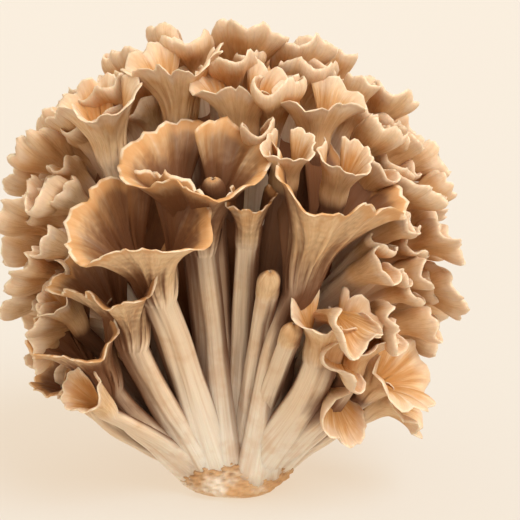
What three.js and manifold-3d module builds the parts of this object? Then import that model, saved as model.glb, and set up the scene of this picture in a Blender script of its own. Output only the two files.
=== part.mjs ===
// Maitake mushroom, one fruiting body grown from one foot: millimetres, +Z up.
// The cut face of the foot lies on z = 0 and the full front of the head faces -Y.

import * as THREE from "three";
import { mergeVertices } from "three/addons/utils/BufferGeometryUtils.js";
import Module from "manifold-3d";

const wasm = await Module();
wasm.setup();

// Head: a ball that the mouths of the fronds lie on, and the point that the fronds spring from
const HEAD_MIDDLE = new THREE.Vector3(0, 2, 100);
const HEAD_RADIUS = 88;
const SPRING_POINT = new THREE.Vector3(0, 4, 22);
const SEED = 7;

// Stump: height of each ring, its half width and half depth, and how ragged its edge is
const STUMP_RINGS = [
  { z: 0, wide: 17, deep: 18, ragged: 0.05 },
  { z: 3, wide: 20, deep: 20, ragged: 0.06 },
  { z: 9, wide: 23.5, deep: 22, ragged: 0.05 },
  { z: 15, wide: 25, deep: 22.5, ragged: 0.06 },
  { z: 24, wide: 22, deep: 20, ragged: 0.03 },
  { z: 40, wide: 13, deep: 15, ragged: 0 },
];
const STUMP_SIDES = 16;

// Heart: the solid flesh in the middle, hidden by the fronds that stand out of it
const HEART_MIDDLE = new THREE.Vector3(0, 21, 92);
const HEART_HALF = new THREE.Vector3(66, 56, 76);
const HEART_NECK = 0.42;
const HEART_ROWS = 8;
const HEART_SIDES = 14;

// Large fronds of the front, by hand: bearing from the front towards +X, rise above the floor,
// reach from the foot to the mouth, width of the mouth, then any change to the usual shape
const STEM_ROOT = new THREE.Vector3(0, 0, 8);
const ROOT_SPREAD = { x: 14, y: 11, rise: 6 };
const FINGER = {
  flare: [16, 10],
  length: 2.2,
  girth: 2.5,
  wrap: 105,
  lip: -80,
  curl: 0.4,
  ruffle: 0.1,
  spread: 4,
  dip: 0.1,
  notch: 0,
};
const BRANCH = { flare: [18, 14], length: 3, girth: 2.7, wrap: 120, ruffle: 0.6, spread: 8, notch: 0.06 };
const FOLDED = { flare: [26, 18], length: 1.9, girth: 3.2, ruffle: 0.8, spread: 10, notch: 0.07 };
const SKIRT = { flare: [74, 50], spread: 6, dip: 0 };
const FRONT_FRONDS = [
  { bearing: -10.7, rise: 62, reach: 153, width: 22.5, girth: 4.2, wrap: 173, notch: 0.05 },
  { bearing: -23.4, rise: 53.7, reach: 143, width: 22.5, girth: 4.4, wrap: 173, notch: 0.05 },
  { bearing: -36, rise: 48.6, reach: 120, width: 20, turn: -12, girth: 4.6, lift: 12 },
  { bearing: -50, rise: 38, reach: 104, width: 18, turn: 10, girth: 4.7, lift: 16 },
  { bearing: -74, rise: 30, reach: 86, width: 16, flare: [40, 30], lift: 20 },
  { bearing: 23, rise: 57, reach: 148, width: 27, turn: -6, girth: 5, lift: 8, lean: 36 },
  { bearing: 32, rise: 44, reach: 108, width: 13, turn: -20, girth: 4.2, lift: 18 },
  { bearing: 46, rise: 41, reach: 100, width: 13, lift: 20 },
  { bearing: 62, rise: 36, reach: 92, width: 14, ...SKIRT },
  { bearing: 78, rise: 29, reach: 80, width: 13, ...SKIRT },
  { bearing: -31, rise: 76.6, reach: 174, width: 16 },
  { bearing: -51, rise: 67.8, reach: 168, width: 16 },
  { bearing: 5, rise: 75, reach: 168, width: 14 },
  { bearing: 38, rise: 71, reach: 166, width: 13.5 },
  { bearing: 18, rise: 64, reach: 157, width: 12, ...FOLDED },
  { bearing: 33, rise: 61, reach: 156, width: 13, ...FOLDED },
  { bearing: -57, rise: 46, reach: 112, width: 12, ...FOLDED },
  { bearing: -44, rise: 31, reach: 92, width: 11, ...FOLDED },
  { bearing: 6, rise: 60, reach: 142, width: 9, ...BRANCH },
  { bearing: 12, rise: 54, reach: 118, width: 6.5, ...FINGER },
  { bearing: 19, rise: 47, reach: 104, width: 6, ...FINGER },
  { bearing: -5, rise: 62.5, reach: 146, width: 5.5, ...FINGER },
];
const FRONT_SHAPE = {
  length: 2.15,
  girth: 3.9,
  flare: [28, 36],
  spread: 24,
  dip: 0.12,
  wrap: 160,
  side: 0.95,
  lip: 26,
  curl: 0.84,
  calm: 0.5,
  notch: 0.1,
  split: 0.48,
  throat: 0.74,
  clear: 0.52,
  turn: 0,
  lift: 0,
  lean: 0,
  ruffle: 1,
};
const FRONT_STEM_GIRTH = [1.55, 0.95, 1.05];
const STEM_BEND = 3;

// Fronds of the shell: seats in a spiral over the head, kept out of the open front
const SHELL_SEATS = 164;
const SPIRAL_TURN = Math.PI * (3 - Math.sqrt(5));
const SPIRAL_START = 0.6;
const SHELL_LOWEST = 30;
const OPEN_FRONT = { y: -30, z: 128, left: -72, right: 46 };
const TUBE_SHARE = 0.22;
const TUBE = {
  width: [10, 12],
  flare: [20, 30],
  back: [12, 22],
  lip: [-40, 0],
  wrap: [130, 160],
  fold: 0.6,
  set: 0.85,
};
const CAP = {
  width: [13.5, 17],
  flare: [54, 74],
  back: [38, 56],
  lip: [-105, -45],
  wrap: [75, 105],
  fold: 1,
  set: 0.72,
};
const SHELL_LENGTH = 2;
const SHELL_SUNK = [-6, 0];
const SHELL_ASTRAY = 0.06;
const SHELL_TURN = 25;
const SIDE_TURN = 65;
const SHELL_SIDE = [0.5, 0.68];
const SHELL_ROOT = 0.45;
const SHELL_STEM = [2.8, 2.5, 2.7];
const SHELL_SPLIT = 0.3;
const SHELL_CURL = 0.55;
const SHELL_NOTCH = 0.09;

// Blades: half thickness where the cap begins and at its rim, and at the side edges
const SHEET_HALF = 0.9;
const RIM_HALF = 0.45;
const EDGE_HALF = 0.35;
const STEM_FULLNESS = 0.93;
const STEM_WRAP = 78;
const CAP_START_SLOPE = 6;
const CAP_OPENING = 0.9;
const CAP_STEPS = 14;

// Facets of one frond: across the blade, along the stem and along the cap
const LARGE_FACETS = { across: 6, stem: 1, cap: 3 };
const SMALL_FACETS = { across: 3, stem: 1, cap: 1 };
const LARGE_CAP = 42;
const JOIN_TOLERANCE = 0.7;

const DEG = Math.PI / 180;

// Repeatable draws between two limits
function makeDraw(seed) {
  let state = seed;
  return (low = 0, high = 1) => {
    state = (1664525 * state + 1013904223) % 4294967296;
    return low + ((high - low) * state) / 4294967296;
  };
}

// Unit direction from its bearing and its rise, in degrees
function heading(bearing, rise) {
  const a = bearing * DEG;
  const e = rise * DEG;
  return new THREE.Vector3(Math.sin(a) * Math.cos(e), -Math.cos(a) * Math.cos(e), Math.sin(e));
}

// The part of a direction that is square to an axis
function squareTo(direction, axis) {
  return direction.clone().addScaledVector(axis, -direction.dot(axis)).normalize();
}

// The outer side of a frond: downwards, then turned about the frond's own axis
function outerSide(down, axis, degrees) {
  return squareTo(down, axis).applyAxisAngle(axis, degrees * DEG);
}

// Ruffles of a cap, as waves across it that grow towards the rim
function ruffles(draw, rows) {
  return rows.map(([low, high, height, growth]) => {
    const count = draw(low, high);
    const phase = draw(0, 2 * Math.PI);
    return { count, height, phase, growth };
  });
}

// One large frond of the front
function frontFrond(row, draw) {
  const shape = { ...FRONT_SHAPE, ...row };
  const axis = heading(row.bearing, row.rise);
  const cap = row.width * shape.length;
  const throat = STEM_ROOT.clone().addScaledVector(axis, row.reach - cap * shape.throat);
  const opening = heading(row.bearing + shape.lean, Math.min(88, row.rise + shape.lift));
  const bearing = row.bearing * DEG;
  const root = STEM_ROOT.clone().add(new THREE.Vector3(
    Math.sin(bearing) * ROOT_SPREAD.x,
    -Math.cos(bearing) * ROOT_SPREAD.y,
    ROOT_SPREAD.rise,
  ));
  const waves = ruffles(draw, [
    [1.4, 2.2, 8 * shape.ruffle, 0.8],
    [2.8, 4.0, 13 * shape.ruffle, 1.6],
    [5.5, 7.5, 10 * shape.ruffle, 3.0],
    [10, 13, 7 * shape.ruffle, 5.0],
  ]);
  const lobes = { count: Math.floor(draw(8, 12)), depth: shape.notch, phase: draw(0, 2 * Math.PI) };
  return {
    ...shape,
    root,
    leave: heading(row.bearing, Math.min(88, row.rise + STEM_BEND)),
    throat,
    axis: opening,
    face: outerSide(new THREE.Vector3(0, 0, -1), opening, shape.turn),
    cap,
    stem: FRONT_STEM_GIRTH.map((part) => part * shape.girth),
    waves,
    lobes,
  };
}

// Whether a seat on the head is free: above the floor, off the open front, off the large mouths
function seatIsFree(seat, mouths) {
  if (seat.z < SHELL_LOWEST) return false;
  const inFront = seat.y < OPEN_FRONT.y && seat.z < OPEN_FRONT.z;
  if (inFront && seat.x > OPEN_FRONT.left && seat.x < OPEN_FRONT.right) return false;
  return mouths.every((mouth) => seat.distanceTo(mouth.at) > mouth.clear);
}

// One frond of the shell, either a folded tube or a ruffled cap with an inward curling rim
function shellFrond(outward, draw) {
  const kind = draw() < TUBE_SHARE ? TUBE : CAP;
  const seat = HEAD_MIDDLE.clone().addScaledVector(outward, HEAD_RADIUS);
  const sunk = draw(...SHELL_SUNK);
  const astray = new THREE.Vector3(draw(-1, 1), draw(-1, 1), draw(-1, 1));
  const axis = seat.clone().sub(SPRING_POINT).normalize().add(outward).multiplyScalar(0.5)
    .addScaledVector(astray, SHELL_ASTRAY)
    .normalize();
  const cap = draw(...kind.width) * SHELL_LENGTH;
  const throat = seat.addScaledVector(outward, sunk).addScaledVector(axis, -cap * kind.set);
  const down = new THREE.Vector3(outward.x * 0.15, outward.y * 0.15, -1);
  const turn = draw(-SHELL_TURN, SHELL_TURN) - (SIDE_TURN * outward.x) / Math.hypot(outward.x, outward.y);
  const root = SPRING_POINT.clone().lerp(throat, SHELL_ROOT);
  const waves = ruffles(draw, [
    [1, 1.6, 12 * kind.fold, 0.9],
    [2.2, 3.2, 11 * kind.fold, 1.4],
    [4, 6, 3 * kind.fold, 2.4],
    [8, 10, 1 * kind.fold, 5.0],
  ]);
  const flare = [draw(...kind.flare), draw(...kind.back)];
  const lip = draw(...kind.lip);
  const wrap = draw(...kind.wrap);
  const side = draw(...SHELL_SIDE);
  const lobes = { count: Math.floor(draw(3, 6)), depth: SHELL_NOTCH, phase: draw(0, 2 * Math.PI) };
  return {
    root, throat, axis, cap, waves, flare, lip, wrap, side, lobes,
    leave: throat.clone().sub(root).normalize(),
    face: outerSide(down, axis, turn),
    stem: SHELL_STEM,
    curl: SHELL_CURL,
    calm: 0,
    spread: 0,
    dip: 0,
    split: SHELL_SPLIT,
  };
}

// All fronds of the shell, seated in a spiral from the top of the head down
function shellFronds(draw, mouths) {
  const fronds = [];
  for (let k = 0; k < SHELL_SEATS; k += 1) {
    const up = 1 - ((k + 0.5) * 2) / SHELL_SEATS;
    const bearing = k * SPIRAL_TURN + SPIRAL_START;
    const level = Math.sqrt(1 - up * up);
    const outward = new THREE.Vector3(Math.sin(bearing) * level, -Math.cos(bearing) * level, up);
    const seat = HEAD_MIDDLE.clone().addScaledVector(outward, HEAD_RADIUS);
    if (seatIsFree(seat, mouths)) fronds.push(shellFrond(outward, draw));
  }
  return fronds;
}

// Where the middle line of the stem runs, and its direction there
function stemLine(frond, t) {
  const run = frond.root.distanceTo(frond.throat);
  const p1 = frond.root.clone().addScaledVector(frond.leave, run * 0.4);
  const p2 = frond.throat.clone().addScaledVector(frond.axis, -run * 0.35);
  const curve = new THREE.CubicBezierCurve3(frond.root, p1, p2, frond.throat);
  return { at: curve.getPoint(t), along: curve.getTangent(t) };
}

// Radius of the stem's middle surface
function stemRadius(frond, t) {
  const [low, waist, high] = frond.stem;
  return low * (1 - t) ** 2 + 2 * waist * t * (1 - t) + high * t * t;
}

// Slope of the cap away from its axis, at u across it and s along it
function capSlope(frond, u, s) {
  const [front, back] = frond.flare;
  const open = back + (front - back) * Math.cos((u * Math.PI) / 2);
  const rim = open + frond.spread * Math.sin(u * Math.PI) ** 2;
  let slope = CAP_START_SLOPE + (rim - CAP_START_SLOPE) * s ** CAP_OPENING;
  const calm = 1 - frond.calm + frond.calm * Math.abs(u);
  for (const wave of frond.waves) {
    slope += calm * wave.height * Math.sin(Math.PI * wave.count * u + wave.phase) * s ** wave.growth;
  }
  const curled = THREE.MathUtils.clamp((s - frond.curl) / (1 - frond.curl), 0, 1);
  return (slope + frond.lip * curled ** 2) * DEG;
}

// Length of the cap from throat to rim, lobed along its edge and shorter at its sides
function capLength(frond, u) {
  const { count, depth, phase } = frond.lobes;
  const edge = 1 - (1 - frond.side) * Math.abs(u) ** 3 - frond.dip * Math.cos((u * Math.PI) / 2) ** 2;
  const notch = 1 - Math.abs(Math.sin((Math.PI * count * u) / 2 + phase));
  return frond.cap * edge * (1 - depth * notch);
}

// Middle surface of a frond: u across it from -1 to 1, v from the root 0 to the rim 1
function middle(frond, u, v) {
  const t = THREE.MathUtils.clamp(v / frond.split, 0, 1);
  const s = THREE.MathUtils.clamp((v - frond.split) / (1 - frond.split), 0, 1);
  const { at, along } = stemLine(frond, t);
  const front = squareTo(frond.face, along);
  const across = along.clone().cross(front);
  const opened = 1 - (1 - s) ** 2;
  const turn = u * (STEM_WRAP + (frond.wrap - STEM_WRAP) * opened) * DEG;
  const length = (capLength(frond, u) * s) / CAP_STEPS;
  let radius = stemRadius(frond, t);
  let forward = 0;
  for (let k = 0; k < CAP_STEPS; k += 1) {
    const slope = capSlope(frond, u, (s * (k + 0.5)) / CAP_STEPS);
    radius += length * Math.sin(slope);
    forward += length * Math.cos(slope);
  }
  return at.addScaledVector(along, forward)
    .addScaledVector(front, Math.cos(turn) * radius)
    .addScaledVector(across, Math.sin(turn) * radius);
}

// Half thickness of a frond: a full stem that thins out into the blade of the cap
function halfThickness(frond, u, v) {
  const t = THREE.MathUtils.clamp(v / frond.split, 0, 1);
  const s = THREE.MathUtils.clamp((v - frond.split) / (1 - frond.split), 0, 1);
  const stem = STEM_FULLNESS * stemRadius(frond, t);
  const blade = SHEET_HALF + (RIM_HALF - SHEET_HALF) * s;
  const half = THREE.MathUtils.lerp(stem, blade, THREE.MathUtils.smoothstep(s, 0, 0.45));
  const low = Math.min(half, EDGE_HALF);
  return low + (half - low) * Math.sqrt(1 - Math.abs(u) ** 6);
}

// Direction square to the middle surface
function surfaceNormal(frond, u, v) {
  const step = 0.001;
  const across = middle(frond, Math.min(u + step, 1), v).sub(middle(frond, Math.max(u - step, -1), v));
  const along = middle(frond, u, Math.min(v + step, 1)).sub(middle(frond, u, Math.max(v - step, 0)));
  return across.cross(along).normalize();
}

// Closed faceted solid of one frond, both faces of the blade split alike
function frondSolid(frond, facets) {
  const columns = facets.across + 1;
  const around = 2 * columns;
  const rows = [];
  for (let i = 0; i < facets.stem; i += 1) rows.push((frond.split * i) / facets.stem);
  for (let i = 0; i <= facets.cap; i += 1) rows.push(frond.split + ((1 - frond.split) * i) / facets.cap);
  const points = [];
  for (const v of rows) {
    const outer = [];
    const inner = [];
    for (let j = 0; j < columns; j += 1) {
      const u = -1 + (2 * j) / facets.across;
      const at = middle(frond, u, v);
      const offset = surfaceNormal(frond, u, v).multiplyScalar(halfThickness(frond, u, v));
      outer.push(at.clone().add(offset));
      inner.unshift(at.sub(offset));
    }
    points.push(...outer, ...inner);
  }
  const faces = [];
  for (let i = 0; i + 1 < rows.length; i += 1) {
    for (let j = 0; j < around; j += 1) {
      const a = i * around + j;
      const b = i * around + ((j + 1) % around);
      const c = b + around;
      const d = a + around;
      if (j < columns) faces.push([a, b, c], [a, c, d]);
      else faces.push([a, b, d], [b, c, d]);
    }
  }
  const last = (rows.length - 1) * around;
  for (let j = 0; j < facets.across; j += 1) {
    const far = around - 1 - j;
    faces.push([j, far, far - 1], [j, far - 1, j + 1]);
    faces.push([last + j, last + j + 1, last + far - 1], [last + j, last + far - 1, last + far]);
  }
  return solidFrom(points, faces);
}

// Stack of closed rings with a fan over each end
function stackSolid(rings) {
  const sides = rings[0].length;
  const points = rings.flat();
  const faces = [];
  for (let i = 0; i + 1 < rings.length; i += 1) {
    for (let j = 0; j < sides; j += 1) {
      const a = i * sides + j;
      const b = i * sides + ((j + 1) % sides);
      faces.push([a, b, b + sides], [a, b + sides, a + sides]);
    }
  }
  const top = (rings.length - 1) * sides;
  for (let j = 1; j + 1 < sides; j += 1) {
    faces.push([0, j + 1, j], [top, top + j, top + j + 1]);
  }
  return solidFrom(points, faces);
}

// Closed solid from its points and triangles
function solidFrom(points, faces) {
  const geometry = new THREE.BufferGeometry();
  const flat = points.flatMap((point) => [point.x, point.y, point.z]);
  geometry.setAttribute("position", new THREE.Float32BufferAttribute(flat, 3));
  geometry.setIndex(faces.flat());
  const merged = mergeVertices(geometry, 1e-4);
  const mesh = new wasm.Mesh({
    numProp: 3,
    vertProperties: new Float32Array(merged.attributes.position.array),
    triVerts: new Uint32Array(merged.index.array),
  });
  const solid = new wasm.Manifold(mesh);
  return solid.volume() < 0 ? solidFrom(points, faces.map(([a, b, c]) => [a, c, b])) : solid;
}

// Rough stump with a flat cut face below
function stumpSolid(draw) {
  const rings = STUMP_RINGS.map((ring) => {
    const points = [];
    for (let j = 0; j < STUMP_SIDES; j += 1) {
      const angle = (2 * Math.PI * j) / STUMP_SIDES;
      const size = 1 + ring.ragged * draw(-1, 1);
      const x = Math.cos(angle) * ring.wide * size;
      const y = Math.sin(angle) * ring.deep * size;
      points.push(new THREE.Vector3(x, y, ring.z));
    }
    return points;
  });
  return stackSolid(rings);
}

// Solid heart of the head, narrowing downwards to a neck
function heartSolid() {
  const rings = [];
  for (let i = 0; i <= HEART_ROWS; i += 1) {
    const angle = Math.PI * (-0.46 + (0.92 * i) / HEART_ROWS);
    const height = Math.sin(angle);
    const waist = HEART_NECK + (1 - HEART_NECK) * Math.min(1, (0.5 + 0.5 * height) * 1.6);
    const points = [];
    for (let j = 0; j < HEART_SIDES; j += 1) {
      const around = (2 * Math.PI * j) / HEART_SIDES;
      points.push(new THREE.Vector3(
        HEART_MIDDLE.x + Math.cos(around) * Math.cos(angle) * HEART_HALF.x * waist,
        HEART_MIDDLE.y * (0.5 + 0.5 * height) + Math.sin(around) * Math.cos(angle) * HEART_HALF.y * waist,
        HEART_MIDDLE.z + height * HEART_HALF.z,
      ));
    }
    rings.push(points);
  }
  return stackSolid(rings);
}

// Three mesh of a joined solid
function meshFrom(solid, name, material) {
  const { vertProperties, triVerts } = solid.getMesh();
  const geometry = new THREE.BufferGeometry();
  geometry.setAttribute("position", new THREE.BufferAttribute(new Float32Array(vertProperties), 3));
  geometry.setIndex(new THREE.BufferAttribute(new Uint32Array(triVerts), 1));
  geometry.computeVertexNormals();
  const mesh = new THREE.Mesh(geometry, material);
  mesh.name = name;
  return mesh;
}

// Cream to brown flesh
function fleshMaterial() {
  return new THREE.MeshStandardMaterial({ name: "flesh", color: 0xc79f73, roughness: 0.75, metalness: 0 });
}

// The one largest body of a joined solid: no loose scrap, and no hollow sealed inside it
function largestBody(solid) {
  return solid.decompose().reduce((best, body) => (body.volume() > best.volume() ? body : best));
}

// Everything grown together as one body
function cluster() {
  const draw = makeDraw(SEED);
  const front = FRONT_FRONDS.map((row) => frontFrond(row, draw));
  const mouths = front.map((frond) => ({
    at: frond.throat.clone().addScaledVector(frond.axis, frond.cap * 0.6),
    clear: frond.cap * frond.clear,
  }));
  const shell = shellFronds(draw, mouths);
  const solids = [
    stumpSolid(draw),
    heartSolid(),
    ...front.map((frond) => frondSolid(frond, frond.cap < LARGE_CAP ? SMALL_FACETS : LARGE_FACETS)),
    ...shell.map((frond) => frondSolid(frond, SMALL_FACETS)),
  ];
  const joined = largestBody(wasm.Manifold.union(solids));
  return largestBody(joined.simplify(JOIN_TOLERANCE));
}

const maitake = new THREE.Group();
maitake.name = "maitake_mushroom";
maitake.add(meshFrom(cluster(), "maitake_cluster", fleshMaterial()));

export default maitake;
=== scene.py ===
import math
import bpy
import numpy as np
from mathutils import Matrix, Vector


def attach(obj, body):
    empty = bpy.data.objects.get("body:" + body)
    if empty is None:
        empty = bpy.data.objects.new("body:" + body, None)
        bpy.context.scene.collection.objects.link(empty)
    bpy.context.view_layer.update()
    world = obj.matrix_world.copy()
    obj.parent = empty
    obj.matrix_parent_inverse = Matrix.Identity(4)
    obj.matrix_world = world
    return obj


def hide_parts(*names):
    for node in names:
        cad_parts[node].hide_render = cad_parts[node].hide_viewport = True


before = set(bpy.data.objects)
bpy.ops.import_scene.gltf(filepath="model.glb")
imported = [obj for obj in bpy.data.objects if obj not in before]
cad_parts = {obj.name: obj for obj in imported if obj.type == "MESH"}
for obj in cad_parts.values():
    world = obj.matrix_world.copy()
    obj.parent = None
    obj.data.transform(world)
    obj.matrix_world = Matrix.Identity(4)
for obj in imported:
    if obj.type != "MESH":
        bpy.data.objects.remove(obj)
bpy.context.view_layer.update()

MM = 0.001
NODE = "maitake_cluster"

# Camera: just above level, as the photograph looks at the mushroom
CAMERA_RISE = 12
CAMERA_FAR = 0.75
CAMERA_AIM = (0.011, 0.0, 0.094)
CAMERA_FIELD = 0.208


def put_camera():
    rise = math.radians(CAMERA_RISE)
    aim = Vector(CAMERA_AIM)
    lens = bpy.data.cameras.new("camera")
    lens.sensor_width = 36
    lens.lens = 36 * CAMERA_FAR / CAMERA_FIELD
    camera = bpy.data.objects.new("camera", lens)
    camera.location = aim + Vector((0, -math.cos(rise), math.sin(rise))) * CAMERA_FAR
    camera.rotation_euler = (aim - camera.location).to_track_quat("-Z", "Y").to_euler()
    bpy.context.scene.collection.objects.link(camera)
    bpy.context.scene.camera = camera


put_camera()

# Head and foot, in millimetres as in the frame
HEAD_MIDDLE = np.array([0.0, 2.0, 100.0])
HEAD_RADIUS = 88
SPRING_POINT = np.array([0.0, 4.0, 22.0])
SEED = 7
STEM_ROOT = np.array([0.0, 0.0, 8.0])
ROOT_SPREAD = (14, 11, 6)

STUMP_RINGS = [
    (0, 17, 18, 0.05),
    (3, 20, 20, 0.06),
    (9, 23.5, 22, 0.05),
    (15, 25, 22.5, 0.06),
    (24, 22, 20, 0.03),
    (40, 13, 15, 0),
]
STUMP_SIDES = 16
STUMP_EDGE = 17
STUMP_SWELL = 3.5

HEART_MIDDLE = (0, 21, 92)
HEART_HALF = (66, 56, 76)
HEART_NECK = 0.42
HEART_NUMBER = 30
CROWN_NUMBERS = (7, 18)
SHELL_NUMBER = 40
FILL_NUMBER = 300

# Large fronds of the front: bearing, rise, reach, width, then what differs from the usual shape
FINGER = dict(
    flare=(16, 10), length=2.2, girth=2.5, wrap=105, lip=-104, curl=0.3, ruffle=0.1, spread=4,
    dip=0.1, notch=0, flesh=1.9,
)
BRANCH = dict(flare=(18, 14), length=3, girth=2.7, wrap=120, ruffle=0.6, spread=8, notch=0.06)
FOLDED = dict(flare=(26, 18), length=1.9, girth=3.2, ruffle=0.8, spread=10, notch=0.07)
SKIRT = dict(flare=(74, 50), spread=6, dip=0, ruffle=1.35, notch=0.15, side=0.7)
FRONT_FRONDS = [
    (-10.7, 62, 153, 22.5, dict(girth=4.2, wrap=183, notch=0.05)),
    (-23.4, 53.7, 143, 22.5, dict(girth=4.4, wrap=183, notch=0.05)),
    (-36, 48.6, 120, 20, dict(turn=-12, girth=4.6, lift=12)),
    (-50, 38, 104, 18, dict(turn=10, girth=4.7, lift=16)),
    (-74, 30, 86, 16, dict(flare=(40, 30), lift=20)),
    (23, 57, 148, 27, dict(turn=-6, girth=5, lift=8, lean=36)),
    (32, 44, 108, 13, dict(turn=-20, girth=4.2, lift=18, ruffle=1.3, notch=0.14)),
    (46, 41, 100, 13, dict(lift=20, ruffle=1.3, notch=0.14)),
    (62, 36, 92, 14, SKIRT),
    (78, 29, 80, 13, SKIRT),
    (-31, 76.6, 174, 16, {}),
    (-51, 67.8, 168, 16, {}),
    (5, 75, 168, 14, {}),
    (38, 71, 166, 13.5, {}),
    (18, 64, 157, 12, FOLDED),
    (33, 61, 156, 13, FOLDED),
    (-57, 46, 112, 12, FOLDED),
    (-44, 31, 92, 11, FOLDED),
    (6, 60, 142, 9, BRANCH),
    (12, 54, 118, 6.5, FINGER),
    (19, 47, 104, 6, FINGER),
    (-5, 62.5, 146, 5.5, FINGER),
]
FRONT_SHAPE = dict(
    length=2.15, girth=3.9, flare=(28, 36), spread=24, dip=0.12, wrap=160, side=0.95,
    lip=26, curl=0.84, calm=0.5, notch=0.1, split=0.48, throat=0.74, clear=0.52, turn=0,
    lift=0, lean=0, ruffle=1, flesh=1.1,
)
FRONT_STEM_GIRTH = (1.55, 0.95, 1.05)
STEM_BEND = 3
STEEPEST = 88
MOUTH_AT = 0.6

SHELL_SEATS = 164
SPIRAL_TURN = math.pi * (3 - math.sqrt(5))
SPIRAL_START = 0.6
SHELL_LOWEST = 30
OPEN_FRONT = dict(y=-30, z=128, left=-72, right=46)
TUBE_SHARE = 0.22
TUBE = dict(
    width=(10, 12), flare=(20, 30), back=(12, 22), lip=(-40, 0), wrap=(130, 160), fold=0.6, set=0.85,
)
CAP = dict(
    width=(13.5, 17), flare=(54, 74), back=(38, 56), lip=(-105, -45), wrap=(75, 105), fold=1, set=0.72,
)
SHELL_LENGTH = 2
SHELL_SUNK = (-6, 0)
SHELL_ASTRAY = 0.06
SHELL_TURN = 25
SIDE_TURN = 65
SHELL_SIDE = (0.5, 0.68)
SHELL_ROOT = 0.45
FACE_OUT = 0.15
SHELL_STEM = (2.8, 2.5, 2.7)
SHELL_SPLIT = 0.3
SHELL_CURL = 0.55
SHELL_NOTCH = 0.09

# Small lobes that stand lower, between the fronds of the shell
FILL = dict(
    width=(8.5, 11), flare=(46, 66), back=(32, 50), lip=(-100, -40), wrap=(75, 105), fold=1, set=0.8,
)
FILL_SEATS = 290
FILL_RADIUS = 81
FILL_START = 1.9
FILL_OPEN_TOP = 150
FILL_SEED = 11

# A funnel's mouth as a plain cone, and the share of a lobe that may stand in it
FUNNEL_DEPTH = 0.95
FUNNEL_OPENING = 0.75
FUNNEL_THROAT = 4
LARGE_FUNNELS = 2
KEPT_FUNNELS = 10
SHELL_SHARE = 0.6
FILL_SHARE = 0.3

# Facets across, along the stem and along the cap
WIDE_FACETS = (84, 16, 30)
NARROW_FACETS = (44, 16, 30)
SHELL_FACETS = (36, 3, 18)
FILL_FACETS = (24, 2, 12)

# Blades and stems: half thicknesses in millimetres, then shares of the cap or the stem
SHEET_HALF = 0.9
RIM_HALF = 0.3
EDGE_HALF = 0.35
THINNEST_HALF = 0.2
BEAD = 0.2
ROUNDED_FROM = 0.965
PLEAT = 0.024
FULL_PLEAT_CAP = 40
KNOB_CAP = 18
WIDE_CAP = 31
SHELL_FLESH = 1.7
STEM_FULLNESS = 0.93
STEM_WRAP = 78
CAP_START_SLOPE = 6
CAP_OPENING = 0.9
CAP_STEPS = 14
BLADE_FROM = 0.45
WRINKLE = 0.12
KNOT = 0.09
NORMAL_STEP = 0.001


class Draw:
    """Repeatable draws between two limits."""

    def __init__(self, seed):
        self.state = seed

    def __call__(self, low=0.0, high=1.0):
        self.state = (1664525 * self.state + 1013904223) % 4294967296
        return low + (high - low) * self.state / 4294967296


def unit(v):
    return v / np.linalg.norm(v)


def heading(bearing, rise):
    """Direction from a bearing round the stump, 0 at the front, and a rise above level."""
    a, e = math.radians(bearing), math.radians(rise)
    return np.array([math.sin(a) * math.cos(e), -math.cos(a) * math.cos(e), math.sin(e)])


def square_to(v, axis):
    """The part of a direction that is square to an axis."""
    return unit(v - axis * float(v @ axis))


def outer_side(down, axis, degrees):
    """The side of a stem that faces one way, turned round the stem by some degrees."""
    side = square_to(down, axis)
    a = math.radians(degrees)
    return side * math.cos(a) + np.cross(axis, side) * math.sin(a)


def ruffles(draw, rows):
    """Waves of a cap: count drawn between two limits, height, phase, and growth towards the rim."""
    made = []
    for low, high, height, growth in rows:
        count = draw(low, high)
        made.append((count, height, draw(0, 2 * math.pi), growth))
    return made


def front_frond(row, draw):
    """A frond placed as listed."""
    bearing, rise, reach, width, changes = row
    shape = {**FRONT_SHAPE, **changes}
    axis = heading(bearing, rise)
    cap = width * shape["length"]
    throat = STEM_ROOT + axis * (reach - cap * shape["throat"])
    axis = heading(bearing + shape["lean"], min(STEEPEST, rise + shape["lift"]))
    a = math.radians(bearing)
    x, y, up = ROOT_SPREAD
    root = STEM_ROOT + np.array([math.sin(a) * x, -math.cos(a) * y, up])
    fold = shape["ruffle"]
    waves = ruffles(draw, [(1.4, 2.2, 8 * fold, 0.8), (2.8, 4.0, 13 * fold, 1.6),
                           (5.5, 7.5, 10 * fold, 3.0), (10, 13, 7 * fold, 5.0)])
    lobes = (math.floor(draw(8, 12)), shape["notch"], draw(0, 2 * math.pi))
    return dict(
        shape, root=root, leave=heading(bearing, min(STEEPEST, rise + STEM_BEND)), throat=throat, axis=axis,
        face=outer_side(np.array([0, 0, -1.0]), axis, shape["turn"]), cap=cap,
        stem=[part * shape["girth"] for part in FRONT_STEM_GIRTH], waves=waves, lobes=lobes,
    )


def mouth(frond):
    """Middle of a front frond's open mouth, and how far from it no seat may lie."""
    return frond["throat"] + frond["axis"] * frond["cap"] * MOUTH_AT, frond["cap"] * frond["clear"]


def seat_is_free(seat, mouths, open_top):
    """Whether a seat lies clear of the foot, the open front and the mouths of the front fronds."""
    if seat[2] < SHELL_LOWEST:
        return False
    if seat[1] < OPEN_FRONT["y"] and seat[2] < open_top:
        if OPEN_FRONT["left"] < seat[0] < OPEN_FRONT["right"]:
            return False
    return all(np.linalg.norm(seat - at) > clear for at, clear in mouths)


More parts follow.
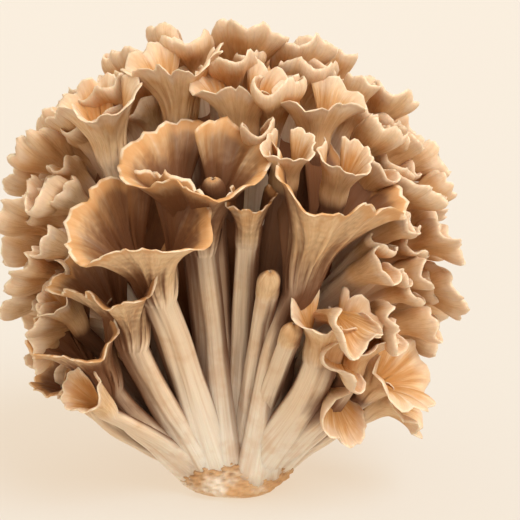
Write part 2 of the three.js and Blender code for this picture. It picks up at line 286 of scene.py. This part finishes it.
def shell_frond(outward, draw, kind, radius):
    """A frond seated on the head in one outward direction, with drawn shape and turn."""
    seat = HEAD_MIDDLE + outward * radius
    sunk = draw(*SHELL_SUNK)
    astray = np.array([draw(-1, 1), draw(-1, 1), draw(-1, 1)])
    axis = unit((unit(seat - SPRING_POINT) + outward) * 0.5 + astray * SHELL_ASTRAY)
    cap = draw(*kind["width"]) * SHELL_LENGTH
    throat = seat + outward * sunk - axis * cap * kind["set"]
    turn = draw(-SHELL_TURN, SHELL_TURN) - SIDE_TURN * outward[0] / math.hypot(outward[0], outward[1])
    root = SPRING_POINT + (throat - SPRING_POINT) * SHELL_ROOT
    fold = kind["fold"]
    waves = ruffles(draw, [(1, 1.6, 12 * fold, 0.9), (2.2, 3.2, 11 * fold, 1.4),
                           (4, 6, 3 * fold, 2.4), (8, 10, 1 * fold, 5.0)])
    flare = (draw(*kind["flare"]), draw(*kind["back"]))
    lip = draw(*kind["lip"])
    wrap = draw(*kind["wrap"])
    side = draw(*SHELL_SIDE)
    lobes = (math.floor(draw(3, 6)), SHELL_NOTCH, draw(0, 2 * math.pi))
    return dict(
        root=root, leave=unit(throat - root), throat=throat, axis=axis, cap=cap, waves=waves,
        face=outer_side(np.array([outward[0] * FACE_OUT, outward[1] * FACE_OUT, -1]), axis, turn),
        flare=flare, lip=lip, wrap=wrap, side=side, lobes=lobes, stem=SHELL_STEM, curl=SHELL_CURL, calm=0,
        spread=0, dip=0, split=SHELL_SPLIT, flesh=SHELL_FLESH,
    )


def spiral(seats, start, mouths, open_top):
    """Outward directions of a spiral over the head, without those that aren't free."""
    for k in range(seats):
        up = 1 - (k + 0.5) * 2 / seats
        bearing = k * SPIRAL_TURN + start
        level = math.sqrt(1 - up * up)
        outward = np.array([math.sin(bearing) * level, -math.cos(bearing) * level, up])
        if seat_is_free(HEAD_MIDDLE + outward * HEAD_RADIUS, mouths, open_top):
            yield outward


def shell_fronds(draw, mouths):
    return [shell_frond(outward, draw, TUBE if draw() < TUBE_SHARE else CAP, HEAD_RADIUS)
            for outward in spiral(SHELL_SEATS, SPIRAL_START, mouths, OPEN_FRONT["z"])]


def fill_fronds(draw, mouths):
    return [shell_frond(outward, draw, FILL, FILL_RADIUS)
            for outward in spiral(FILL_SEATS, FILL_START, mouths, FILL_OPEN_TOP)]


def stands_in(frond, funnel, most):
    """Whether more than a share of a lobe would stand inside the mouth of a funnel."""
    v, u = np.meshgrid(np.linspace(0.4, 1, 7), np.linspace(-1, 1, 15), indexing="ij")
    off = middle(frond, u, v).reshape(-1, 3) - funnel["throat"]
    far = off @ funnel["axis"]
    wide = np.linalg.norm(off - far[:, None] * funnel["axis"], axis=1)
    inside = (far > 0) & (far < funnel["cap"] * FUNNEL_DEPTH) & (wide < far * FUNNEL_OPENING + FUNNEL_THROAT)
    return inside.mean() > most


def clear_of(fronds, funnels, most):
    """The fronds that don't stand in the mouth of any of the funnels."""
    return [frond for frond in fronds if not any(stands_in(frond, funnel, most) for funnel in funnels)]


def stem_line(frond, t):
    """Points and directions of a stem's middle line, from its root to the throat of its cap."""
    p0, p3 = frond["root"], frond["throat"]
    run = np.linalg.norm(p3 - p0)
    p1 = p0 + frond["leave"] * run * 0.4
    p2 = p3 - frond["axis"] * run * 0.35
    t = t[..., None]
    at = p0 * (1 - t) ** 3 + 3 * p1 * t * (1 - t) ** 2 + 3 * p2 * t * t * (1 - t) + p3 * t ** 3
    along = (p1 - p0) * (1 - t) ** 2 + 2 * (p2 - p1) * t * (1 - t) + (p3 - p2) * t * t
    return at, along / np.linalg.norm(along, axis=-1, keepdims=True)


def stem_radius(frond, t):
    """Radius of the rolled blade along the stem."""
    low, waist, high = frond["stem"]
    return low * (1 - t) ** 2 + 2 * waist * t * (1 - t) + high * t * t


def cap_slope(frond, u, s):
    """How far the cap leans out from the stem's direction, with its waves and its curled lip."""
    front, back = frond["flare"]
    rim = back + (front - back) * np.cos(u * math.pi / 2) + frond["spread"] * np.sin(u * math.pi) ** 2
    slope = CAP_START_SLOPE + (rim - CAP_START_SLOPE) * s ** CAP_OPENING
    calm = 1 - frond["calm"] + frond["calm"] * np.abs(u)
    for count, height, phase, growth in frond["waves"]:
        slope = slope + calm * height * np.sin(math.pi * count * u + phase) * s ** growth
    curled = np.clip((s - frond["curl"]) / (1 - frond["curl"]), 0, 1)
    return np.radians(slope + frond["lip"] * curled ** 2)


def wave_sum(at, *rows):
    """Sum of sine waves, each with its height, count and phase."""
    return sum(height * np.sin(count * at + phase) for height, count, phase in rows)


def cap_length(frond, u):
    """Length of the cap from throat to rim, cut into lobes and nicked."""
    count, depth, phase = frond["lobes"]
    edge = 1 - (1 - frond["side"]) * np.abs(u) ** 3 - frond["dip"] * np.cos(u * math.pi / 2) ** 2
    notch = 1 - np.abs(np.sin(math.pi * count * u / 2 + phase))
    nick = wave_sum(u, (0.012, 31, 2 * phase), (0.013, 61, 3 * phase), (0.01, 97, 5 * phase))
    return frond["cap"] * edge * (1 - depth * notch + nick * roughness(frond))


def roughness(frond):
    """0 on the smooth knob of a finger, 1 on a wide cap."""
    return float(np.clip((frond["cap"] - KNOB_CAP) / KNOB_CAP, 0, 1))


def blade_part(frond, v):
    """0 along the stem, then rising to 1 at the rim of the cap."""
    return np.clip((v - frond["split"]) / (1 - frond["split"]), 0, 1)


def middle(frond, u, v):
    """Points of the middle surface: u runs round the stem, v from the root to the rim."""
    t = np.clip(v / frond["split"], 0, 1)
    s = blade_part(frond, v)
    at, along = stem_line(frond, t)
    front = frond["face"] - along * (along @ frond["face"])[..., None]
    front /= np.linalg.norm(front, axis=-1, keepdims=True)
    across = np.cross(along, front)
    opened = 1 - (1 - s) ** 2
    turn = np.radians(u * (STEM_WRAP + (frond["wrap"] - STEM_WRAP) * opened))[..., None]
    length = cap_length(frond, u) * s / CAP_STEPS
    radius = stem_radius(frond, t)
    forward = np.zeros_like(radius)
    for k in range(CAP_STEPS):
        slope = cap_slope(frond, u, s * (k + 0.5) / CAP_STEPS)
        radius = radius + length * np.sin(slope)
        forward = forward + length * np.cos(slope)
    outward = front * np.cos(turn) + across * np.sin(turn)
    return at + along * forward[..., None] + outward * radius[..., None]


def half_thickness(frond, u, v):
    """Half thickness: a full wrinkled stem, thinning into the blade, with an uneven rim."""
    t = np.clip(v / frond["split"], 0, 1)
    s = blade_part(frond, v)
    phase = frond["lobes"][2]
    w = u + wave_sum(t, (0.05, 6, phase), (0.03, 17, 2 * phase))
    wrinkle = wave_sum(w, (0.5, 6, phase), (0.3, 13, 3 * t - 2 * phase), (0.1, 29, 5 * t))
    knot = np.sin(9 * t + 3 * u + phase) * np.sin(4 * u - 7 * t + 2 * phase)
    stem = STEM_FULLNESS * stem_radius(frond, t) * (1 + WRINKLE * wrinkle + KNOT * knot)
    blade = (SHEET_HALF + (RIM_HALF - SHEET_HALF) * s) * frond["flesh"]
    e = np.clip(s / BLADE_FROM, 0, 1)
    half = stem + (blade - stem) * e * e * (3 - 2 * e)
    low = np.minimum(half, EDGE_HALF)
    half = low + (half - low) * np.sqrt(1 - np.abs(u) ** 6)
    rim = np.exp(-((s - 0.975) / 0.02) ** 2)
    bead = BEAD * roughness(frond) * rim * np.sin(61 * u + phase) * np.sin(23 * u)
    over = np.clip(s - ROUNDED_FROM, 0, 1) / (1 - ROUNDED_FROM)
    rounded = np.sqrt(np.clip(1 - over ** 2, 0, 1) * 0.96 + 0.04)
    return np.maximum(half + bead, THINNEST_HALF) * rounded


def pleats(frond, u, v):
    """Radial folds of the cap, which move both faces of the blade alike."""
    s = blade_part(frond, v)
    phase = frond["lobes"][2]
    w = u + 0.02 * np.sin(9 * s + phase)
    folds = wave_sum(w, (0.5, 17, phase), (0.35, 37, 2 * phase), (0.2, 61, -phase))
    swell = np.sin(math.pi * np.clip(s * 1.1, 0, 1) ** 0.8)
    return PLEAT * frond["cap"] * min(1, frond["cap"] / FULL_PLEAT_CAP) * roughness(frond) * folds * swell


def frond_grid(frond, facets, number):
    """Points, quads and the along, blade, across, side and frond values of one closed frond."""
    across, stem, cap = facets
    split = frond["split"]
    us = np.linspace(-1, 1, across + 1)
    vs = np.concatenate([np.linspace(0, split, stem + 1)[:-1], np.linspace(split, 1, cap + 1)])
    v, u = np.meshgrid(vs, us, indexing="ij")
    step = NORMAL_STEP
    at = middle(frond, u, v)
    du = middle(frond, np.clip(u + step, -1, 1), v) - middle(frond, np.clip(u - step, -1, 1), v)
    dv = middle(frond, u, np.clip(v + step, 0, 1)) - middle(frond, u, np.clip(v - step, 0, 1))
    normal = np.cross(du, dv)
    normal /= np.linalg.norm(normal, axis=-1, keepdims=True) + 1e-12
    if (normal[:, across // 2] @ frond["face"]).mean() < 0:
        normal = -normal
    at = at + normal * pleats(frond, u, v)[..., None]
    offset = normal * half_thickness(frond, u, v)[..., None]
    ring = np.concatenate([at + offset, (at - offset)[:, ::-1]], axis=1)
    rows, around = ring.shape[:2]
    walls = ring_quads(rows, around)
    a = np.arange(across)
    far = around - 1 - a
    last = (rows - 1) * around
    ends = np.concatenate([np.stack([a, far, far - 1, a + 1], -1),
                           last + np.stack([a, a + 1, far - 1, far], -1)])
    side = np.concatenate([np.zeros_like(u), np.ones_like(u)], axis=1)
    blade = blade_part(frond, v)
    values = dict(
        along=np.concatenate([v, v[:, ::-1]], axis=1),
        blade=np.concatenate([blade, blade[:, ::-1]], axis=1),
        across=np.concatenate([u, u[:, ::-1]], axis=1),
        side=side,
        frond=np.full_like(side, number),
    )
    marks = {name: value.ravel() for name, value in values.items()}
    return ring.reshape(-1, 3), np.concatenate([walls, ends]), marks


def piece(name, grids, material, crowd):
    """One mesh object, in metres, from several grids."""
    points, quads, values, start = [], [], {}, 0
    for at, faces, marks in grids:
        points.append(at)
        quads.append(faces + start)
        start += len(at)
        for mark, value in marks.items():
            values.setdefault(mark, []).append(value)
    points = np.concatenate(points)
    mesh = bpy.data.meshes.new(name)
    mesh.from_pydata((points * MM).tolist(), [], np.concatenate(quads).tolist())
    values = {mark: np.concatenate(value) for mark, value in values.items()}
    normals = np.empty(points.size)
    mesh.vertex_normals.foreach_get("vector", normals)
    # How closed in each point is, which the colour uses for painted shade in gaps and hollows
    values["deep"] = crowd.over(points, normals.reshape(-1, 3))
    for mark, value in values.items():
        mesh.attributes.new(mark, "FLOAT", "POINT").data.foreach_set("value", value.astype(np.float32))
    mesh.shade_smooth()
    mesh.materials.append(material)
    made = bpy.data.objects.new(name, mesh)
    bpy.context.scene.collection.objects.link(made)
    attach(made, "root")
    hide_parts(NODE)
    return made


class Crowd:
    """How closed in a point is by the flesh around it, from a coarse grid of cells, for the painted shade in
    the colour.
    """

    CELL = 2.6
    STEPS = range(2, 12)
    LAYER = 1.0
    WAYS = [unit(np.array([x, y, z], float)) for x in (-1, 0, 1) for y in (-1, 0, 1) for z in (-1, 0, 1)
            if (x, y, z) != (0, 0, 0)]

    def __init__(self, points):
        self.corner = points.min(axis=0) - 14 * self.CELL
        size = ((points.max(axis=0) - self.corner) / self.CELL + 14).astype(int)
        self.cells = np.zeros(size, np.float32)
        self.cells[self.cell(points)] = 1
        for axis in (0, 1, 2, 0, 1, 2):
            self.cells = (np.roll(self.cells, 1, axis) + self.cells + np.roll(self.cells, -1, axis)) / 3

    def cell(self, points):
        at = ((points - self.corner) / self.CELL).astype(int)
        return tuple(np.clip(at, 0, np.array(self.cells.shape) - 1).T)

    def over(self, points, normals):
        """0 where the surface looks at open air, 1 where flesh stands all round."""
        open_air = np.zeros(len(points))
        whole = np.full(len(points), 1e-9)
        for way in self.WAYS:
            facing = np.clip(normals @ way, 0, None)
            layers = sum(self.cells[self.cell(points + way * step * self.CELL)] for step in self.STEPS)
            open_air += facing * np.exp(-self.LAYER * layers)
            whole += facing
        return 1 - open_air / whole


def stump_grid(draw):
    """Rough bevelled stump: the frame's ragged rings, taken finer and crumbled."""
    sizes = [[1 + ragged * draw(-1, 1) for _ in range(STUMP_SIDES)] for _, _, _, ragged in STUMP_RINGS]
    around, rows = 192, 72
    angle = np.linspace(0, 2 * math.pi, around, endpoint=False)
    heights = np.linspace(0, STUMP_RINGS[-1][0], rows)
    levels = [ring[0] for ring in STUMP_RINGS]
    seats = np.arange(STUMP_SIDES + 1) / STUMP_SIDES * 2 * math.pi
    size = np.array([np.interp(angle, seats, row + row[:1]) for row in sizes])
    wide = np.array([ring[1] for ring in STUMP_RINGS])[:, None] * size
    deep = np.array([ring[2] for ring in STUMP_RINGS])[:, None] * size
    wide = np.array([np.interp(heights, levels, wide[:, k]) for k in range(around)]).T
    deep = np.array([np.interp(heights, levels, deep[:, k]) for k in range(around)]).T
    z = np.repeat(heights[:, None], around, 1)
    a = np.repeat(angle[None], rows, 0)
    ragged = STUMP_EDGE + wave_sum(a, (1.5, 5, 1), (1.1, 11, 0), (0.8, 23, 2), (0.5, 47, 0))
    swell = np.clip(z / 4, 0, 1) * np.clip((ragged + 1.5 - z) / 1.5, 0, 1) * STUMP_SWELL
    crumb = 0.7 * np.sin(13 * a + 1.1 * z) * np.sin(0.7 * z + 5 * a)
    crumb += 0.5 * np.sin(29 * a - 1.9 * z + 2) * np.sin(1.5 * z + 9 * a)
    crumb += 0.4 * np.sin(53 * a + 2.9 * z) * np.sin(2.6 * z + 13 * a)
    crumb *= np.clip(z / 1.5, 0, 1)
    edge = 0.94 * np.exp(-((z - ragged + 0.6) / 1.3) ** 2)
    at = np.stack([np.cos(a) * (wide + swell * 0.7 + crumb), np.sin(a) * (deep + swell + crumb), z], -1)
    return closed_stack(at, dict(along=z / 80, blade=edge, across=np.sin(a), side=0 * z, frond=0 * z))


def closed_stack(at, values):
    """A stack of rings, closed by a fan over each end."""
    rows, around = at.shape[:2]
    count = rows * around
    ends = [at[0].mean(axis=0), at[-1].mean(axis=0)]
    j = np.arange(0, around, 2)
    low = np.stack([np.full_like(j, count), (j + 2) % around, j + 1, j], -1)
    top = count - around
    high = np.stack([np.full_like(j, count + 1), top + j, top + j + 1, top + (j + 2) % around], -1)
    points = np.concatenate([at.reshape(-1, 3), ends])
    marks = {name: np.append(value.ravel(), [value[0, 0], value[-1, 0]]) for name, value in values.items()}
    return points, np.concatenate([ring_quads(rows, around), low, high]), marks


def ring_quads(rows, around):
    """The four-sided faces between closed rings of points."""
    i, j = np.meshgrid(np.arange(rows - 1), np.arange(around), indexing="ij")
    k = (j + 1) % around
    low, high = i * around, (i + 1) * around
    return np.stack([low + j, low + k, high + k, high + j], -1).reshape(-1, 4)


def heart_grid():
    """Crowded middle of the head, ridged by the stems packed into it, coloured dark as painted shade between
    the fronds.
    """
    around, rows = 220, 120
    rise = np.radians(np.linspace(-83, 83, rows))[:, None] * np.ones(around)
    a = np.linspace(0, 2 * math.pi, around, endpoint=False) * np.ones((rows, 1))
    height = np.sin(rise)
    waist = HEART_NECK + (1 - HEART_NECK) * np.minimum(1, (0.5 + 0.5 * height) * 1.6)
    ridge = np.sin(17 * a + 4 * height) + np.sin(9 * a + 7 * rise) * np.sin(11 * rise + 3 * a)
    lump = 1 + 0.03 * ridge
    at = np.stack([
        HEART_MIDDLE[0] + np.cos(a) * np.cos(rise) * HEART_HALF[0] * waist * lump,
        HEART_MIDDLE[1] * (0.5 + 0.5 * height) + np.sin(a) * np.cos(rise) * HEART_HALF[1] * waist * lump,
        HEART_MIDDLE[2] + height * HEART_HALF[2],
    ], -1)
    even = np.ones_like(a)
    # Painted shade: the heart takes the values of a throat's inner side, so it is coloured the darkest brown
    values = dict(
        along=even * 0.5, blade=even * 0.1, across=np.sin(9 * a), side=even, frond=even * HEART_NUMBER,
    )
    return closed_stack(at, values)


class Socket:
    """A value of the shader, with arithmetic."""

    def __init__(self, shader, link):
        self.shader, self.link = shader, link

    def math(self, operation, *others):
        return self.shader.node("ShaderNodeMath", {"operation": operation}, self, *others)

    def __add__(self, other):
        return self.math("ADD", other)

    def __mul__(self, other):
        return self.math("MULTIPLY", other)

    def __sub__(self, other):
        return self.math("SUBTRACT", other)

    def __rsub__(self, other):
        return self.shader.node("ShaderNodeMath", {"operation": "SUBTRACT"}, other, self)

    __radd__ = __add__
    __rmul__ = __mul__


class Shader:
    """A material's node tree: each method adds a node and gives its first output."""

    def __init__(self, name):
        self.material = bpy.data.materials.new(name)
        self.material.use_nodes = True
        self.tree = self.material.node_tree
        self.skin = self.tree.nodes["Principled BSDF"]

    def node(self, kind, settings=None, *inputs, output=0, **named):
        made = self.tree.nodes.new(kind)
        for key, value in (settings or {}).items():
            setattr(made, key, value)
        for key, value in [*enumerate(inputs), *named.items()]:
            self.feed(made.inputs[key.replace("_", " ") if isinstance(key, str) else key], value)
        return Socket(self, made.outputs[output])

    def feed(self, socket, value):
        if isinstance(value, Socket):
            self.tree.links.new(value.link, socket)
        elif value is not None:
            socket.default_value = (*value, 1) if isinstance(value, tuple) and len(value) == 3 else value

    def mark(self, name):
        return self.node("ShaderNodeAttribute", {"attribute_name": name}, output="Fac")

    def vector(self, x, y, z):
        return self.node("ShaderNodeCombineXYZ", None, x, y, z)

    def noise(self, at, scale, detail=3, rough=0.5):
        return self.node("ShaderNodeTexNoise", None, Vector=at, Scale=scale, Detail=detail, Roughness=rough)

    def band(self, value, low, high, to_low=0.0, to_high=1.0):
        settings = {"interpolation_type": "SMOOTHSTEP"}
        return self.node("ShaderNodeMapRange", settings, value, low, high, to_low, to_high)

    def blend(self, factor, first, second, how="MIX"):
        settings = {"data_type": "RGBA", "blend_type": how}
        unused = [None] * 5
        return self.node("ShaderNodeMix", settings, factor, *unused, first, second, output=2)


STEM_CREAM = (0.95, 0.87, 0.75)
STEM_TAN = (0.88, 0.69, 0.49)
STEM_SHADE = (0.62, 0.35, 0.17)
CAP_TAN = (0.79, 0.53, 0.28)
CAP_BROWN = (0.52, 0.23, 0.05)
# Darkest inner brown: the flesh's own brown, darkened as painted shade for throats and the heart
CAP_SHADED_BROWN = (0.30, 0.11, 0.02)
# Pale rim cream, partly a painted highlight along the edge
RIM_CREAM_HIGHLIGHT = (0.93, 0.76, 0.56)
RIM_ORANGE = (0.62, 0.31, 0.11)
# Painted shade colours for crowded gaps: dark brown on the stems, orange brown on the shell
GAP_SHADE_BROWN = (0.15, 0.045, 0.008)
SHELL_GAP_SHADE = (0.60, 0.24, 0.035)
SHELL_PALE = (0.85, 0.73, 0.58)
STUMP_TAN = (0.70, 0.43, 0.22)


def flesh():
    """Cream stems, brown inner sides, tan outer sides and pale thin rims, all finely fibrous, with painted
    shade in crowded gaps, throats and the heart, and a painted highlight along the rims.
    """
    s = Shader("flesh")
    along, blade, across, side, number, deep = (
        s.mark(name) for name in ("along", "blade", "across", "side", "frond", "deep"))
    fibres = s.noise(s.vector(across * 30, along * 6, number * 3.7), 1.0, 4, 0.7)
    coarse = s.noise(s.vector(across * 7, along * 4, number * 5.1), 1.0, 2, 0.5)
    patches = s.noise(s.node("ShaderNodeTexCoord", None, output="Object"), 70, 3, 0.6)
    streaks = s.noise(s.vector(across * 15, along * 1.6, number * 2.3), 1.0, 3, 0.6)
    broken = s.noise(s.vector(across * 11, number * 1.7, blade * 2), 1.0, 2, 0.6)
    cap = s.band(blade, 0.0, 0.35)
    shell = s.band(number, SHELL_NUMBER - 1, SHELL_NUMBER - 0.5)
    first, last = CROWN_NUMBERS
    crown = s.band(number, first - 0.8, first - 0.2) * s.band(number, last + 0.8, last + 0.2)
    shell = shell + crown * s.band(blade, 0.0, 0.3)
    outside = s.blend(s.band(along, 0.03, 0.4), STEM_CREAM, STEM_TAN)
    outside = s.blend(cap * 0.85, outside, CAP_TAN)
    outside = s.blend(s.band(coarse, 0.45, 0.75) * 0.4, outside, STEM_SHADE)
    outside = s.blend(s.band(streaks, 0.52, 0.74) * (0.3 + cap * 0.2), outside, STEM_SHADE)
    # Inner face darkens towards the throat: its own brown with painted shade deep in the funnel
    inside = s.blend(s.band(blade, 0.15, 0.95), s.blend(shell, CAP_SHADED_BROWN, CAP_BROWN), CAP_TAN)
    inside = s.blend(s.band(streaks, 0.42, 0.66) * 0.75, inside, CAP_BROWN)
    inside = s.blend(s.band(streaks, 0.46, 0.3) * s.band(blade, 0.3, 0.8) * 0.6, inside, SHELL_PALE)
    colour = s.blend(side, outside, inside)
    colour = s.blend(s.band(fibres, 0.4, 0.7) * (0.16 + cap * 0.25), colour,
                     s.blend(1.0, colour, (0.62, 0.44, 0.28), "MULTIPLY"))
    colour = s.blend(s.band(number, 0.5, 0.2) * s.band(patches, 0.3, 0.55), colour, STUMP_TAN)
    colour = s.blend(s.band(patches, 0.48, 0.72) * (0.35 + cap * 0.3), colour, RIM_ORANGE)
    # Painted shade: where flesh closes in, the colour darkens to the gap browns, weaker on the shell and
    # near the roots of the stems
    shade = s.band(deep - shell * 0.25, 0.3, 0.8) * (0.94 - shell * 0.54)
    shade_above_root = s.band(along, 0.0, 0.3, 0.35, 1.0)
    colour = s.blend(shade * shade_above_root, colour, s.blend(shell, GAP_SHADE_BROWN, SHELL_GAP_SHADE))
    colour = s.blend(s.band(blade + coarse * 0.3, 0.85, 1.2) * shell * 0.7, colour, SHELL_PALE)
    colour = s.blend(s.band(blade + fibres * 0.06, 0.88, 0.96) * (0.6 - shell * 0.4), colour, RIM_ORANGE)
    # Pale broken band at the very rim: paler flesh with a painted highlight along the edge
    pale = s.band(blade + fibres * 0.03, 0.98, 1.0) * s.band(broken, 0.38, 0.6)
    colour = s.blend(pale * 0.85, colour, RIM_CREAM_HIGHLIGHT)
    s.feed(s.skin.inputs["Base Color"], colour)
    s.feed(s.skin.inputs["Roughness"], s.band(fibres, 0.2, 0.8, 0.6, 0.8))
    relief = fibres * 0.6 + patches * 0.4
    bump = s.node("ShaderNodeBump", None, Strength=0.7, Distance=0.0012, Height=relief)
    s.feed(s.skin.inputs["Normal"], bump)
    s.skin.inputs["Subsurface Weight"].default_value = 0.12
    s.skin.inputs["Subsurface Radius"].default_value = (1.0, 0.45, 0.2)
    s.skin.inputs["Subsurface Scale"].default_value = 0.002
    return s.material


def build_mushroom():
    draw = Draw(SEED)
    front = [front_frond(row, draw) for row in FRONT_FRONDS]
    mouths = [mouth(frond) for frond in front]
    shell = shell_fronds(draw, mouths)
    fill = fill_fronds(Draw(FILL_SEED), mouths)
    shell = clear_of(shell, front[:LARGE_FUNNELS], SHELL_SHARE)
    fill = clear_of(fill, front[:KEPT_FUNNELS], FILL_SHARE)
    large = [frond_grid(frond, WIDE_FACETS if frond["cap"] > WIDE_CAP else NARROW_FACETS, 1 + k)
             for k, frond in enumerate(front)]
    small = [frond_grid(frond, SHELL_FACETS, SHELL_NUMBER + k) for k, frond in enumerate(shell)]
    lobes = [frond_grid(frond, FILL_FACETS, FILL_NUMBER + k) for k, frond in enumerate(fill)]
    pieces = {
        "front_stems_low": large[:10],
        "front_stems_high": large[10:],
        "shell_right": chosen(small, shell, lambda x, y: x >= 0 and y < 10),
        "shell_left": chosen(small, shell, lambda x, y: x < 0 and y < 10),
        "shell_back_right": chosen(small, shell, lambda x, y: x >= 0 and y >= 10),
        "shell_back_left": chosen(small, shell, lambda x, y: x < 0 and y >= 10),
        "fill_front": chosen(lobes, fill, lambda x, y: y < 10),
        "fill_back": chosen(lobes, fill, lambda x, y: y >= 10),
        "stump": [stump_grid(draw)],
        "heart": [heart_grid()],
    }
    crowd = Crowd(np.concatenate([at for grids in pieces.values() for at, _, _ in grids]))
    skin = flesh()
    for name, grids in pieces.items():
        piece(name, grids, skin, crowd)


def chosen(grids, fronds, where):
    """The grids whose frond has its throat in one part of the head."""
    return [grid for grid, frond in zip(grids, fronds) if where(*frond["throat"][:2])]


def studio():
    """Pale glowing floor, one soft key light from the upper right front, and an even pale surround."""
    mesh = bpy.data.meshes.new("floor")
    mesh.from_pydata([(-4, -4, 0), (4, -4, 0), (4, 4, 0), (-4, 4, 0)], [], [(0, 1, 2, 3)])
    floor = bpy.data.objects.new("floor", mesh)
    bpy.context.scene.collection.objects.link(floor)
    paper = Shader("studio_floor")
    paper.skin.inputs["Base Color"].default_value = (0.128, 0.198, 0.251, 1)
    paper.skin.inputs["Emission Color"].default_value = (1.0, 0.774, 0.568, 1)
    paper.skin.inputs["Emission Strength"].default_value = 0.72
    paper.skin.inputs["Roughness"].default_value = 0.9
    mesh.materials.append(paper.material)
    world = bpy.data.worlds.new("surround")
    world.use_nodes = True
    world.node_tree.nodes["Background"].inputs[0].default_value = (1.0, 0.88, 0.72, 1)
    world.node_tree.nodes["Background"].inputs[1].default_value = 0.88
    bpy.context.scene.world = world
    key = bpy.data.lights.new("key", "SUN")
    key.energy = 2.2
    key.angle = math.radians(40)
    key.color = (1.0, 1.0, 1.0)
    lamp = bpy.data.objects.new("key", key)
    lamp.rotation_euler = Vector((-0.48, 0.6, -0.8)).to_track_quat("-Z", "Y").to_euler()
    bpy.context.scene.collection.objects.link(lamp)
    bpy.context.scene.view_settings.view_transform = "Standard"


build_mushroom()
studio()
